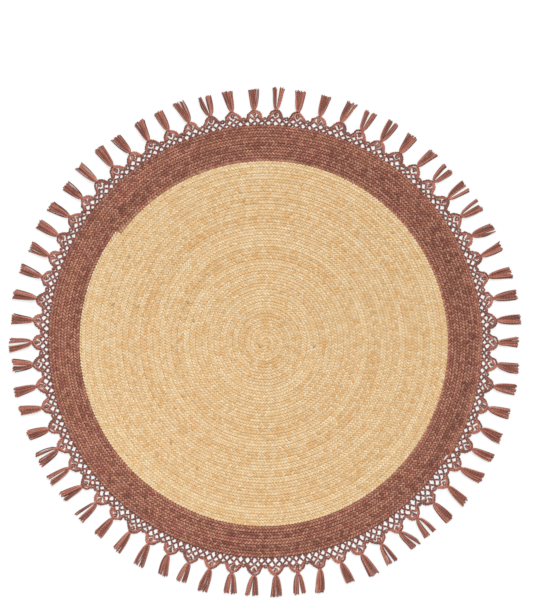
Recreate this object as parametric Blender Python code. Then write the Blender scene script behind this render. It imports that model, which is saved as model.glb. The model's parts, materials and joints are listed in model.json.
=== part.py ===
"""Round area rug: a coiled jute braid with a dyed border, a cotton net edge and tassels.

A three-strand braid is coiled flat, clockwise from above, and sewn along its seam. Its
first turns are undyed jute and its last turns are dyed jute. A cotton cord runs round
the border, an open net is worked on it in two rounds, and the net ends in points. A
tassel hangs from the tip of each point. The net is limp, so its second round lifts with
its points and tassels. It does so here in runs of three, each on a straight bend line.

Metres, +Z up. The origin is the rug's centre, on the floor.
"""

import math

import bmesh
import bpy
from mathutils import Vector

# The braid and its coil.
BRAID_WIDTH = 0.0139
BRAID_SHOULDER = 0.00295
BRAID_HEIGHT = 0.008
SEAM_GAP = 0.0003
NATURAL_TURNS = 30
DYED_TURNS = 6
CORE_GAP = 0.0008
COLOUR_CHANGE_ANGLE = math.radians(143)

# The sewing thread in the seam between two turns.
THREAD_SIZE = 0.0010
THREAD_HEIGHT = 0.0035

# The cotton edge, measured outwards from the border's edge.
EDGE_CORD = 0.0035
NET_THICKNESS = 0.004
BEND_OFFSET = 0.0110
NOTCH_OFFSET = 0.0215
POINT_BASE_OFFSET = 0.0230
POINT_TIP_OFFSET = 0.0380
POINT_CORD = 0.0035
PIECE_GAP = 0.0003

# How much of its pitch a point's foot takes up, and how far its openings stay inside it, in cords.
POINT_FOOT_SHARE = 2 / 3
OPENING_FOOT_CORDS = 1 / 3
OPENING_SIDE_CORDS = 1.7
OPENING_TIP_CORDS = 1.9

# The tassels.
TASSEL_LENGTH = 0.057
TASSEL_NECK_WIDTH = 0.0060
TASSEL_SHOULDER_WIDTH = 0.0115
TASSEL_END_WIDTH = 0.0175
TASSEL_SHOULDER_SHARE = 0.25

# How many of each, and how finely round shapes are cut.
FRINGE_RUNS = 22
POINTS_PER_RUN = 3
CORE_TURNS = 3
CORE_SIDES = 11
INNER_TURNS = 12
INNER_SIDES = 22
OUTER_SIDES = 33
TAPER_SIDES = 17
CORD_ROUNDING = 1

# Colours (linear red, green, blue) and roughness.
NATURAL_JUTE = ((0.72, 0.50, 0.25), 0.85)
DYED_JUTE = ((0.27, 0.11, 0.075), 0.85)
NATURAL_THREAD = ((0.80, 0.72, 0.62), 0.70)
DYED_THREAD = ((0.33, 0.15, 0.11), 0.70)
COTTON = ((0.34, 0.15, 0.11), 0.90)

# What follows from the sizes above.
TURN_PITCH = BRAID_WIDTH + SEAM_GAP
TOTAL_TURNS = NATURAL_TURNS + DYED_TURNS
BRAID_END = TOTAL_TURNS - TAPER_SIDES / OUTER_SIDES
BORDER_RADIUS = (TOTAL_TURNS - 0.5) * TURN_PITCH
BEND_DISTANCE = BORDER_RADIUS + BEND_OFFSET
BEND_HEIGHT = NET_THICKNESS + PIECE_GAP
RUN_ANGLE = 2 * math.pi / FRINGE_RUNS
POINT_ANGLE = RUN_ANGLE / POINTS_PER_RUN


def clear_scene():
    """Removes whatever the file holds."""
    for obj in list(bpy.data.objects):
        bpy.data.objects.remove(obj, do_unlink=True)


def material(name, look):
    """A Principled material from a colour and a roughness."""
    colour, roughness = look
    made = bpy.data.materials.new(name)
    made.use_nodes = True
    shader = made.node_tree.nodes["Principled BSDF"]
    shader.inputs["Base Color"].default_value = (*colour, 1.0)
    shader.inputs["Roughness"].default_value = roughness
    shader.inputs["Metallic"].default_value = 0.0
    return made


def polar(radius, angle, height=0.0):
    """The point at a distance and an angle round the rug's centre."""
    return Vector((radius * math.cos(angle), radius * math.sin(angle), height))


def add_object(name, data, look, collection):
    """Links a new object with its material into the rug's collection."""
    data.materials.append(look)
    obj = bpy.data.objects.new(name, data)
    collection.objects.link(obj)
    return obj


def loft(name, sections, look, collection):
    """A closed body through equal loops of points, capped at both ends."""
    mesh = bmesh.new()
    rings = [[mesh.verts.new(point) for point in section] for section in sections]
    corners = range(len(sections[0]))
    for near, far in zip(rings, rings[1:]):
        for k in corners:
            after = (k + 1) % len(corners)
            mesh.faces.new((near[k], near[after], far[after], far[k]))
    mesh.faces.new(rings[0])
    mesh.faces.new(rings[-1])
    bmesh.ops.recalc_face_normals(mesh, faces=mesh.faces)
    data = bpy.data.meshes.new(name)
    mesh.to_mesh(data)
    mesh.free()
    return add_object(name, data, look, collection)


def coil_angle(turn):
    """The angle that the coil has reached after so many turns."""
    return COLOUR_CHANGE_ANGLE - 2 * math.pi * turn


def sides_at(turn):
    """How many straight stretches the coil's turn is cut into."""
    if turn < CORE_TURNS:
        return CORE_SIDES
    return INNER_SIDES if turn < INNER_TURNS else OUTER_SIDES


def turn_stops(first, last, offset=0):
    """Places along the coil, in turns, where a section is cut. Seams are cut like the turn outside them."""
    stops = [first]
    corner = math.floor(first)
    while corner < last:
        sides = sides_at(corner + offset)
        stops += [corner + k / sides for k in range(sides)]
        corner += 1
    return stops[:1] + [stop for stop in stops[1:] if first < stop < last] + [last]


def seam_radius(turn):
    """The middle of the seam outside the braid at a place along the coil."""
    return (turn + 0.5) * TURN_PITCH


def braid_section(turn):
    """The braid's section there: a flat foot, sloping sides and a flat crown.

    The braid starts narrow at the centre, and it narrows again towards its end, where the border is round.
    """
    inner = max(CORE_GAP, seam_radius(turn - 1) + SEAM_GAP / 2)
    outer = min(BORDER_RADIUS, seam_radius(turn)) - SEAM_GAP / 2
    slope = (outer - inner) * BRAID_SHOULDER / BRAID_WIDTH
    angle = coil_angle(turn)
    return [
        polar(inner, angle),
        polar(outer, angle),
        polar(outer - slope, angle, BRAID_HEIGHT),
        polar(inner + slope, angle, BRAID_HEIGHT),
    ]


def thread_section(turn):
    """The thread's section in the groove outside that place, pointing down as the groove does."""
    radius = seam_radius(turn)
    angle = coil_angle(turn)
    return [
        polar(radius, angle, THREAD_HEIGHT),
        polar(radius + THREAD_SIZE / 2, angle, THREAD_HEIGHT + THREAD_SIZE),
        polar(radius - THREAD_SIZE / 2, angle, THREAD_HEIGHT + THREAD_SIZE),
    ]


def half_gap_in_turns(turn, gap):
    """Half a gap along the coil, as a share of the turn there."""
    return gap / 2 / (2 * math.pi * turn * TURN_PITCH)


def make_coil(looks, collection):
    """The two lengths of braid, joined end to end, and the thread that sews each."""
    cut = half_gap_in_turns(NATURAL_TURNS, SEAM_GAP)
    braids = {
        "natural_braid": (0, NATURAL_TURNS - cut),
        "dyed_braid": (NATURAL_TURNS + cut, BRAID_END),
    }
    for name, (first, last) in braids.items():
        sections = [braid_section(turn) for turn in turn_stops(first, last)]
        loft(name, sections, looks[name], collection)
    threads = {
        "natural_seam_thread": (1, NATURAL_TURNS - 1 - cut),
        "dyed_seam_thread": (NATURAL_TURNS - 1 + cut, BRAID_END - 1),
    }
    for name, (first, last) in threads.items():
        sections = [thread_section(turn) for turn in turn_stops(first, last, offset=1)]
        loft(name, sections, looks[name], collection)


def flat_plate(name, outlines, thickness):
    """A flat 2D curve filled between its outlines, with the inner ones as holes."""
    data = bpy.data.curves.new(name, "CURVE")
    data.dimensions = "2D"
    data.fill_mode = "BOTH"
    data.extrude = thickness / 2
    for outline in outlines:
        spline = data.splines.new("POLY")
        spline.points.add(len(outline) - 1)
        for point, (x, y) in zip(spline.points, outline):
            point.co = (x, y, 0.0, 1.0)
        spline.use_cyclic_u = True
    return data


def ring_outline(radius, sides):
    """A regular outline whose corners are on the circle, starting half a side round."""
    return [polar(radius, 2 * math.pi * (k + 0.5) / sides).to_2d() for k in range(sides)]


def coil_edge(turn):
    """The coil's outer edge in its last turn: round up to the braid's end, then the turn inside it."""
    return BORDER_RADIUS if turn <= BRAID_END else seam_radius(turn - 1)


def edge_outline(offset):
    """A closed outline that far outside the coil's edge, with a corner at each of the coil's corners."""
    last_turn = [TOTAL_TURNS - 1 + k / OUTER_SIDES for k in range(OUTER_SIDES)]
    return [polar(coil_edge(turn) + offset, coil_angle(turn)) for turn in last_turn]


def make_net(looks, collection):
    """The cord along the border's edge and the round of net that stays flat."""
    data = bpy.data.curves.new("foundation_cord", "CURVE")
    data.dimensions = "3D"
    data.bevel_depth = EDGE_CORD / 2
    data.bevel_resolution = CORD_ROUNDING
    route = edge_outline(PIECE_GAP + EDGE_CORD / 2)
    spline = data.splines.new("POLY")
    spline.points.add(len(route) - 1)
    for point, place in zip(spline.points, route):
        point.co = (*place, 1.0)
    spline.use_cyclic_u = True
    spline.use_smooth = True
    cord = add_object("foundation_cord", data, looks["cotton"], collection)
    cord.location.z = EDGE_CORD / 2

    bend_corner = (BEND_DISTANCE - PIECE_GAP) / math.cos(math.pi / FRINGE_RUNS)
    outlines = [
        ring_outline(bend_corner, FRINGE_RUNS),
        [place.to_2d() for place in edge_outline(2 * PIECE_GAP + EDGE_CORD)],
    ]
    data = flat_plate("first_net_round", outlines, NET_THICKNESS)
    plate = add_object("first_net_round", data, looks["cotton"], collection)
    plate.location.z = NET_THICKNESS / 2


def run_place(across, out, angle):
    """A place in a run's plane, from how far across a point's middle line it is and how far out."""
    x = out * math.cos(angle) - across * math.sin(angle) - BEND_DISTANCE
    y = out * math.sin(angle) + across * math.cos(angle)
    return (x, y)


def point_and_tassel(angle):
    """The outline of one point of the net and its tassel, from one side of its foot to the other."""
    base = BORDER_RADIUS + POINT_BASE_OFFSET
    tip = BORDER_RADIUS + POINT_TIP_OFFSET
    half_base = base * POINT_ANGLE * POINT_FOOT_SHARE / 2
    one_side = [
        (half_base, base),
        (TASSEL_NECK_WIDTH / 2, tip),
        (TASSEL_SHOULDER_WIDTH / 2, tip + TASSEL_SHOULDER_SHARE * TASSEL_LENGTH),
        (TASSEL_END_WIDTH / 2, tip + TASSEL_LENGTH),
    ]
    left = [run_place(-across, out, angle) for across, out in one_side]
    right = [run_place(across, out, angle) for across, out in reversed(one_side)]
    return left + right


def point_holes(angle):
    """The two openings in a point, either side of its middle cords."""
    base = BORDER_RADIUS + POINT_BASE_OFFSET
    tip = BORDER_RADIUS + POINT_TIP_OFFSET
    half_base = base * POINT_ANGLE * POINT_FOOT_SHARE / 2
    middle = POINT_CORD / 2
    wide = half_base - OPENING_SIDE_CORDS * POINT_CORD
    foot = base + OPENING_FOOT_CORDS * POINT_CORD
    top = tip - OPENING_TIP_CORDS * POINT_CORD
    corners = [(middle, foot), (wide, foot), (middle, top)]
    return [
        [run_place(side * across, out, angle) for across, out in corners]
        for side in (-1, 1)
    ]


def fringe_outlines():
    """The outlines of one run: its straight foot, its points with tassels, and their holes.

    The foot's ends are square to the bend, so that lifted runs clear each other.
    """
    half = RUN_ANGLE / 2
    notch = BORDER_RADIUS + NOTCH_OFFSET
    angles = [POINT_ANGLE * (k - (POINTS_PER_RUN - 1) / 2) for k in range(POINTS_PER_RUN)]
    foot_end = BEND_DISTANCE * math.tan(half) - PIECE_GAP
    notch_out = notch * math.cos(half) - BEND_DISTANCE
    outline = [(PIECE_GAP, -foot_end), (notch_out, -foot_end)]
    for angle in angles:
        outline += point_and_tassel(angle)
        if angle != angles[-1]:
            outline.append(run_place(0, notch, angle + POINT_ANGLE / 2))
    outline += [(notch_out, foot_end), (PIECE_GAP, foot_end)]
    holes = [hole for angle in angles for hole in point_holes(angle)]
    return [outline, *holes]


def make_fringe(looks, collection):
    """The runs of points and tassels, each under an empty on the line where it bends."""
    data = flat_plate("fringe", fringe_outlines(), NET_THICKNESS)
    data.materials.append(looks["cotton"])
    for k in range(FRINGE_RUNS):
        angle = k * RUN_ANGLE
        bend = bpy.data.objects.new(f"fringe_{k + 1:02d}_bend", None)
        bend.location = polar(BEND_DISTANCE, angle, BEND_HEIGHT)
        bend.rotation_euler.z = angle
        collection.objects.link(bend)
        run = bpy.data.objects.new(f"fringe_{k + 1:02d}", data)
        run.parent = bend
        run.location.z = NET_THICKNESS / 2 - BEND_HEIGHT
        collection.objects.link(run)


def main():
    """Builds the rug's pieces in one collection."""
    clear_scene()
    collection = bpy.data.collections.new("round_jute_rug")
    bpy.context.scene.collection.children.link(collection)
    looks = {
        "natural_braid": material("natural_jute", NATURAL_JUTE),
        "dyed_braid": material("dyed_jute", DYED_JUTE),
        "natural_seam_thread": material("natural_thread", NATURAL_THREAD),
        "dyed_seam_thread": material("dyed_thread", DYED_THREAD),
        "cotton": material("cotton_cord", COTTON),
    }
    make_coil(looks, collection)
    make_net(looks, collection)
    make_fringe(looks, collection)


main()
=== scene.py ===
"""The looks of a round jute rug: plaited braid, seam stitches, knotted net edge and tassels.

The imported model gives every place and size. Each sub-assembly below is a class that
weaves its own pieces round that model and dresses them.
"""

import json
import logging
import math
import random
from dataclasses import dataclass
from enum import Enum

import bpy
import numpy as np
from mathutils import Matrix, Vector


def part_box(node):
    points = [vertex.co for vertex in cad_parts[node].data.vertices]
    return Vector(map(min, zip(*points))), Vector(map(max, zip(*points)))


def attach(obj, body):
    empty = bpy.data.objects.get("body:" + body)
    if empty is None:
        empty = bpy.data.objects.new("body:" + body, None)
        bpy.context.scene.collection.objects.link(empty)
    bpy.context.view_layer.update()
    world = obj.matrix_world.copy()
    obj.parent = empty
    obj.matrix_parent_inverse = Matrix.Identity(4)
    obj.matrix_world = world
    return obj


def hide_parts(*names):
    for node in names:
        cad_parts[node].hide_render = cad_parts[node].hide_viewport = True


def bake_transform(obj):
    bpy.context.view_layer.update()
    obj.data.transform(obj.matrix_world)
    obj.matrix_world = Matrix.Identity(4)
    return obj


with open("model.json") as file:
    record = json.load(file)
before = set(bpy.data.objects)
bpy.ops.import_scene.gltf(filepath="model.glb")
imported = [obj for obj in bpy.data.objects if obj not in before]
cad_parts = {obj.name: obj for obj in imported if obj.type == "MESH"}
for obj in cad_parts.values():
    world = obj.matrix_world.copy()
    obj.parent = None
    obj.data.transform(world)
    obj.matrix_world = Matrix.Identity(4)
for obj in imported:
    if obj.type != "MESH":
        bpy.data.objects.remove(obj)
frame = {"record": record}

FULL_TURN = 2 * math.pi
GOLDEN_ANGLE = math.pi * (3.0 - math.sqrt(5.0))
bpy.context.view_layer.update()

log = logging.getLogger("rug")

Colour = tuple[float, float, float]
Path = np.ndarray
Place = tuple[float, float, float]
Course = tuple[tuple[float, float], ...]
Inputs = dict[object, object] | None


class Slot(Enum):
    """The record's material slots."""

    NATURAL_JUTE = "natural_jute"
    DYED_JUTE = "dyed_jute"
    NATURAL_THREAD = "natural_thread"
    DYED_THREAD = "dyed_thread"
    COTTON_CORD = "cotton_cord"


class Field:
    """A value inside a node tree that takes part in sums."""

    def __init__(self, sketch: "TreeSketch", socket: bpy.types.NodeSocket) -> None:
        """Keeps the socket that holds the value.

        Args:
            sketch: the tree the value belongs to.
            socket: the output that gives it.
        """
        self.sketch = sketch
        self.socket = socket

    def __add__(self, other: "Field | float") -> "Field":
        """The sum."""
        return self.sketch.calc("ADD", self, other)

    def __sub__(self, other: "Field | float") -> "Field":
        """The difference."""
        return self.sketch.calc("SUBTRACT", self, other)

    def __rsub__(self, other: float) -> "Field":
        """The difference from a plain number."""
        return self.sketch.calc("SUBTRACT", other, self)

    def __mul__(self, other: "Field | float") -> "Field":
        """The product."""
        return self.sketch.calc("MULTIPLY", self, other)

    def __truediv__(self, other: "Field | float") -> "Field":
        """The quotient."""
        return self.sketch.calc("DIVIDE", self, other)

    __radd__ = __add__
    __rmul__ = __mul__

    def sin(self) -> "Field":
        """The sine."""
        return self.sketch.calc("SINE", self)

    def cos(self) -> "Field":
        """The cosine."""
        return self.sketch.calc("COSINE", self)

    def root(self) -> "Field":
        """The square root."""
        return self.sketch.calc("SQRT", self)

    def floor(self) -> "Field":
        """The whole number below."""
        return self.sketch.calc("FLOOR", self)

    def least(self, other: float) -> "Field":
        """This value, but never under the other."""
        return self.sketch.calc("MAXIMUM", self, other)

    def most(self, other: float) -> "Field":
        """This value, but never over the other."""
        return self.sketch.calc("MINIMUM", self, other)


class TreeSketch:
    """Draws one node tree, for a shape or for a material."""

    def __init__(self, tree: bpy.types.NodeTree) -> None:
        """Starts on an empty tree.

        Args:
            tree: the tree to draw in.
        """
        self.tree = tree
        self.tree.nodes.clear()

    @classmethod
    def for_shape(cls, name: str) -> "TreeSketch":
        """A geometry tree with one geometry input and one geometry output.

        Args:
            name: the tree's name.

        Returns:
            The sketch of it.
        """
        tree = bpy.data.node_groups.new(name, "GeometryNodeTree")
        tree.interface.new_socket("Geometry", in_out="INPUT", socket_type="NodeSocketGeometry")
        tree.interface.new_socket("Geometry", in_out="OUTPUT", socket_type="NodeSocketGeometry")
        sketch = cls(tree)
        sketch.entry = tree.nodes.new("NodeGroupInput")
        return sketch

    def size(self, name: str, kind: str = "NodeSocketFloat") -> Field:
        """Adds a named input.

        Args:
            name: what the input is called.
            kind: its socket type.

        Returns:
            Its value.
        """
        self.tree.interface.new_socket(name, in_out="INPUT", socket_type=kind)
        return Field(self, self.entry.outputs[name])

    def set(self, socket: bpy.types.NodeSocket, value: object) -> None:
        """Feeds an input with a field or with a plain value."""
        if isinstance(value, Field):
            self.tree.links.new(value.socket, socket)
        else:
            socket.default_value = value

    def node(self, kind: str, inputs: Inputs = None, **settings: object) -> bpy.types.Node:
        """Adds a node.

        Args:
            kind: the node's type.
            inputs: input names or numbers, with what feeds each.
            settings: properties set before the inputs are fed.

        Returns:
            The node.
        """
        made = self.tree.nodes.new(kind)
        for name, value in settings.items():
            setattr(made, name, value)
        for name, value in (inputs or {}).items():
            self.set(made.inputs[name], value)
        return made

    def take(self, kind: str, inputs: Inputs = None, out: object = 0, **settings: object) -> Field:
        """Adds a node and gives one of its outputs."""
        return Field(self, self.node(kind, inputs, **settings).outputs[out])

    def calc(self, operation: str, *values: "Field | float") -> Field:
        """Adds a sum.

        Args:
            operation: which sum.
            values: what it works on.

        Returns:
            The result.
        """
        return self.take("ShaderNodeMath", dict(enumerate(values)), operation=operation)

    def vector(self, x: "Field | float", y: "Field | float", z: "Field | float") -> Field:
        """Three values as one vector."""
        return self.take("ShaderNodeCombineXYZ", {0: x, 1: y, 2: z})

    def combine(self, operation: str, *values: object) -> Field:
        """Adds a sum on vectors."""
        return self.take("ShaderNodeVectorMath", dict(enumerate(values)), operation=operation)

    def scaled(self, direction: Field, amount: Field) -> Field:
        """A direction made longer or shorter."""
        return self.take("ShaderNodeVectorMath", {0: direction, "Scale": amount}, operation="SCALE")

    def noise(self, place: Field, detail: float = 2.0) -> Field:
        """Smooth random values from 0 to 1 that change over one unit of place."""
        return self.take("ShaderNodeTexNoise", {"Vector": place, "Scale": 1.0, "Detail": detail})

    def ramp(self, value: Field, low: float, high: float) -> Field:
        """A value as a share of the way from low to high, kept from 0 to 1."""
        return self.take("ShaderNodeMapRange", {"Value": value, "From Min": low, "From Max": high})

    def keep(self, shape: Field, name: str, value: "Field | float") -> Field:
        """Stores a value on each point of a shape under a name."""
        stored = {"Geometry": shape, "Name": name, "Value": value}
        settings = {"data_type": "FLOAT", "domain": "POINT"}
        return self.take("GeometryNodeStoreNamedAttribute", stored, **settings)

    def random(self, low: float, high: float, seed: "Field | int") -> Field:
        """A random value for each point or instance."""
        limits = {"Min": low, "Max": high, "Seed": seed}
        made = self.node("FunctionNodeRandomValue", limits, data_type="FLOAT")
        return Field(self, next(socket for socket in made.outputs if socket.enabled))

    def profile(self, sides: int, radius: "Field | float") -> Field:
        """A strand's section, which stores how far across the strand each point is."""
        sizes = {"Resolution": sides, "Radius": radius}
        circle = self.take("GeometryNodeCurvePrimitiveCircle", sizes)
        index = self.take("GeometryNodeInputIndex")
        across = 1.0 - self.calc("ABSOLUTE", index * (2.0 / sides) - 1.0)
        return self.keep(circle, "around", across)

    def strand(self, curve: Field, profile: Field) -> Field:
        """A closed strand with one section all along a curve."""
        parts = {"Curve": curve, "Profile Curve": profile, "Fill Caps": True}
        return self.take("GeometryNodeCurveToMesh", parts)

    def bow(self, stops: tuple[Field, Field, Field, Field], steps: int, sides: int, radius: Field) -> Field:
        """A short bowed strand.

        Args:
            stops: its start, its two handles and its end.
            steps: lengths that it is made in.
            sides: sides round it.
            radius: half its thickness.

        Returns:
            The strand.
        """
        names = ("Start", "Start Handle", "End Handle", "End")
        inputs = {"Resolution": steps, **dict(zip(names, stops))}
        bow = self.take("GeometryNodeCurvePrimitiveBezierSegment", inputs)
        bow = self.keep(bow, "along", self.take("GeometryNodeSplineParameter", out="Length"))
        return self.strand(bow, self.profile(sides, radius))

    def scatter(self, points: Field, shape: Field, turned: Field, scale: object = None) -> Field:
        """A copy of a shape at each point, turned and scaled."""
        turned = self.take("FunctionNodeEulerToRotation", {0: turned})
        inputs = {"Points": points, "Instance": shape, "Rotation": turned}
        if scale is not None:
            inputs["Scale"] = scale
        return self.take("GeometryNodeInstanceOnPoints", inputs)

    def finish(self, shapes: list[Field], material: Field) -> None:
        """Joins the shapes, makes instances real, gives them their material and ends the tree."""
        joined = self.node("GeometryNodeJoinGeometry")
        for shape in shapes:
            self.tree.links.new(shape.socket, joined.inputs[0])
        real = self.take("GeometryNodeRealizeInstances", {0: Field(self, joined.outputs[0])})
        position = self.take("GeometryNodeInputPosition")
        # Each point's height at rest, which the finish turns into painted shade low between strands.
        real = self.keep(real, "rise", self.take("ShaderNodeSeparateXYZ", {0: position}, "Z"))
        dressed = self.take("GeometryNodeSetMaterial", {"Geometry": real, "Material": material})
        self.node("NodeGroupOutput", {0: dressed})


BARK: Colour = (0.33, 0.17, 0.075)
WHITE = (1.0, 1.0, 1.0, 1.0)


@dataclass(frozen=True)
class Finish:
    """A dry fibre finish: its tones, how coarse its fibres and patches are, and the painted shade it puts
    low between strands.

    Args:
        name: the material's name.
        base: the main colour.
        pale: the colour of sun-bleached or less dyed fibres.
        deep: the colour of darker fibres, and of the painted shade low between strands and in ply grooves.
        accent: the colour of scattered odd fibres.
        light: how much pale fibre there is, from 0 to 1.
        banding: how much deeper the darkest turns are, from 0 to 1.
        dull: the share of lobes or strands that are duller than the rest.
        specks: the share of lobes that are a dark bit of bark.
        hollow_shade: how much painted shade deepens the colour low between the strands, from 0 to 1.
        low: the height at which that painted shade is full.
        high: the height above which there is none.
        patch: patches in a metre of strand.
        streaks: fibre streaks across a strand.
        plies: grooves across the top of a strand where it is itself twisted, bumped and darkened with
            painted shade, or 0.
        relief: how deep the fibre lines are, in metres.
        roughness: the surface's roughness.
        sheen: the soft shine of loose fibre ends.
    """

    name: str
    base: Colour
    pale: Colour
    deep: Colour
    accent: Colour
    light: float = 0.8
    banding: float = 0.15
    dull: float = 0.3
    specks: float = 0.0
    hollow_shade: float = 0.5
    low: float = 0.0030
    high: float = 0.0068
    patch: float = 200.0
    streaks: float = 22.0
    plies: float = 0.0
    relief: float = 0.0011
    roughness: float = 0.82
    sheen: float = 0.12

    def mixed(self, sketch: TreeSketch, share: Field, first: object, second: object) -> Field:
        """One colour mixed into another by a share."""
        mix = sketch.node("ShaderNodeMix", data_type="RGBA")
        sockets = [socket for socket in mix.inputs if socket.enabled]
        for socket, value in zip(sockets, (share, first, second)):
            sketch.set(socket, (*value, 1.0) if isinstance(value, tuple) else value)
        return Field(sketch, next(socket for socket in mix.outputs if socket.enabled))

    def attribute(self, sketch: TreeSketch, name: str) -> Field:
        """A value that the weaving stored on the mesh."""
        return sketch.take("ShaderNodeAttribute", out="Fac", attribute_name=name)

    def tint(self, sketch: TreeSketch, seed: float) -> Field:
        """A random value from 0 to 1 for each lobe of a braid and for each strand."""
        lobe = (self.attribute(sketch, "lobe") + 0.5).floor()
        strand = (self.attribute(sketch, "strand") + 0.5).floor()
        return sketch.take("ShaderNodeTexWhiteNoise", {"Vector": sketch.vector(lobe, strand, seed)})

    def material(self) -> bpy.types.Material:
        """Builds the finish as a material.

        Returns:
            The material, made once for each name.
        """
        found = bpy.data.materials.get(self.name)
        if found:
            return found
        made = bpy.data.materials.new(self.name)
        made.use_nodes = True
        sketch = TreeSketch(made.node_tree)
        names = ("along", "around", "strand", "ring")
        along, around, strand, ring = (self.attribute(sketch, name) for name in names)
        fine = sketch.vector(along * 60.0, around * self.streaks, strand * 13.7)
        coarse = sketch.vector(along * 90.0, around * 3.0, strand * 5.1 + 2.0)
        fibres = sketch.noise(fine, 3.0) * 0.6 + sketch.noise(coarse, 1.0) * 0.4
        patches = sketch.noise(sketch.vector(along * self.patch, strand * 31.7, ring * 0.37), 1.0)
        bands = sketch.noise(sketch.vector(ring * 1.1, along * 0.35, 4.2), 2.0)
        runs = sketch.vector(along * 7.0, ring * 2.3, strand * 0.55 + around * 0.3)
        odd = sketch.noise(runs, 3.0)
        tone = patches * 0.35 + bands * 0.65
        share = self.banding
        dim = tuple(share * deep + (1 - share) * base for deep, base in zip(self.deep, self.base))
        colour = self.mixed(sketch, sketch.ramp(tone, 0.38, 0.58), dim, self.base)
        colour = self.mixed(sketch, sketch.ramp(odd, 0.52, 0.66) * 0.75, colour, self.accent)
        bright = sketch.ramp(fibres * 0.6 + self.tint(sketch, 2.3) * 0.22 + tone * 0.18, 0.37, 0.65)
        colour = self.mixed(sketch, bright * self.light, colour, self.pale)
        # Painted shade: the deep colour is mixed in low between the strands, by each point's height at
        # rest, and random duller lobes (real tone) add to it.
        low = sketch.ramp(self.attribute(sketch, "rise"), self.high, self.low)
        duller = self.tint(sketch, 5.9) * 0.4 + fibres * 0.6
        dull = sketch.ramp(duller, 0.72 - self.dull * 0.5, 0.84 - self.dull * 0.5) * 0.6
        shade = low + dull * (1.0 - low)
        colour = self.mixed(sketch, shade * self.hollow_shade, colour, self.deep)
        speck = sketch.calc("GREATER_THAN", self.tint(sketch, 8.7), 1.0 - self.specks)
        colour = self.mixed(sketch, speck * 0.6, colour, BARK)
        height = fibres
        if self.plies:
            groove = ((around * self.plies + along * 150.0) * FULL_TURN).sin() * 0.5 + 0.5
            # Painted shade in the ply grooves: the deep colour is mixed in where a groove is deepest.
            colour = self.mixed(sketch, sketch.ramp(groove, 0.35, 0.0) * 0.5, colour, self.deep)
            height = fibres * 0.5 + groove
        relief = {"Height": height, "Strength": 0.8, "Distance": self.relief}
        bump = sketch.take("ShaderNodeBump", relief)
        surface = {"Base Color": colour, "Roughness": self.roughness, "Normal": bump}
        shader = sketch.node("ShaderNodeBsdfPrincipled", surface)
        shader.inputs["Sheen Weight"].default_value = self.sheen
        shader.inputs["Sheen Roughness"].default_value = 0.6
        sketch.node("ShaderNodeOutputMaterial", {"Surface": Field(sketch, shader.outputs[0])})
        return made


# In each finish below, the hollow value sets how strong the painted shade low between the strands is.
NATURAL_JUTE = Finish(
    "natural_jute_ribbon",
    base=(0.73, 0.505, 0.238),
    pale=(0.80, 0.69, 0.49),
    deep=(0.61, 0.33, 0.100),
    accent=(0.68, 0.345, 0.095),
    light=0.95,
    banding=0.8,
    specks=0.0012,
    hollow_shade=0.6,
)
DYED_JUTE = Finish(
    "dyed_jute_ribbon",
    base=(0.300, 0.082, 0.046),
    pale=(0.63, 0.295, 0.188),
    deep=(0.052, 0.010, 0.006),
    accent=(0.35, 0.068, 0.068),
    light=0.92,
    banding=0.6,
    dull=0.08,
    hollow_shade=0.97,
    sheen=0.05,
)
NATURAL_THREAD = Finish(
    "natural_sewing_thread",
    base=(0.86, 0.70, 0.46),
    pale=(0.92, 0.80, 0.60),
    deep=(0.76, 0.55, 0.30),
    accent=(0.84, 0.62, 0.36),
    hollow_shade=0.1,
)
DYED_THREAD = Finish(
    "dyed_sewing_thread",
    base=(0.40, 0.17, 0.11),
    pale=(0.56, 0.30, 0.21),
    deep=(0.22, 0.075, 0.05),
    accent=(0.42, 0.14, 0.12),
    hollow_shade=0.1,
)
COTTON = Finish(
    "twisted_cotton",
    base=(0.46, 0.142, 0.090),
    pale=(0.68, 0.270, 0.190),
    deep=(0.050, 0.010, 0.006),
    accent=(0.44, 0.12, 0.09),
    light=0.85,
    # Painted shade low between the strands, kept by height at rest, so a lifted run's undersides stay dark.
    hollow_shade=0.95,
    dull=0.5,
    low=0.0012,
    high=0.0052,
    streaks=9.0,
    plies=1.0,
    relief=0.0007,
    sheen=0.08,
)


def woven(
    name: str, sketch: TreeSketch, sizes: dict[str, object], guide: bpy.types.Mesh | None = None
) -> bpy.types.Object:
    """Runs a geometry tree and keeps its result as a plain mesh.

    Args:
        name: the finished piece's name.
        sketch: the tree to run.
        sizes: a value for each of the tree's named inputs.
        guide: the mesh that the tree works on, if it needs one.

    Returns:
        The piece, at the origin, with its place in its mesh.
    """
    holder = bpy.data.objects.new(f"{name}_guide", guide or bpy.data.meshes.new(f"{name}_guide"))
    bpy.context.scene.collection.objects.link(holder)
    modifier = holder.modifiers.new("weave", "NODES")
    modifier.node_group = sketch.tree
    for item in sketch.tree.interface.items_tree:
        if item.in_out == "INPUT" and item.name in sizes:
            modifier[item.identifier] = sizes[item.name]
    graph = bpy.context.evaluated_depsgraph_get()
    mesh = bpy.data.meshes.new_from_object(holder.evaluated_get(graph))
    mesh.name = name
    mesh.shade_smooth()
    bpy.data.objects.remove(holder, do_unlink=True)
    piece = bpy.data.objects.new(name, mesh)
    bpy.context.scene.collection.objects.link(piece)
    log.info("%s: %d faces", name, len(mesh.polygons))
    return piece


def guide_mesh(name: str, paths: list[Path]) -> bpy.types.Mesh:
    """A mesh of bare edges, one chain for each path, which numbers its paths.

    Args:
        name: the mesh's name.
        paths: the points of each path.

    Returns:
        The mesh.
    """
    mesh = bpy.data.meshes.new(name)
    points = np.concatenate(paths)
    starts = np.cumsum([0] + [len(path) for path in paths])
    edges = [(k, k + 1) for a, b in zip(starts, starts[1:]) for k in range(a, b - 1)]
    mesh.from_pydata(points.tolist(), edges, [])
    numbers = np.repeat(np.arange(len(paths), dtype=np.float32), np.diff(starts))
    mesh.attributes.new("strand", "FLOAT", "POINT").data.foreach_set("value", numbers)
    return mesh


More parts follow.
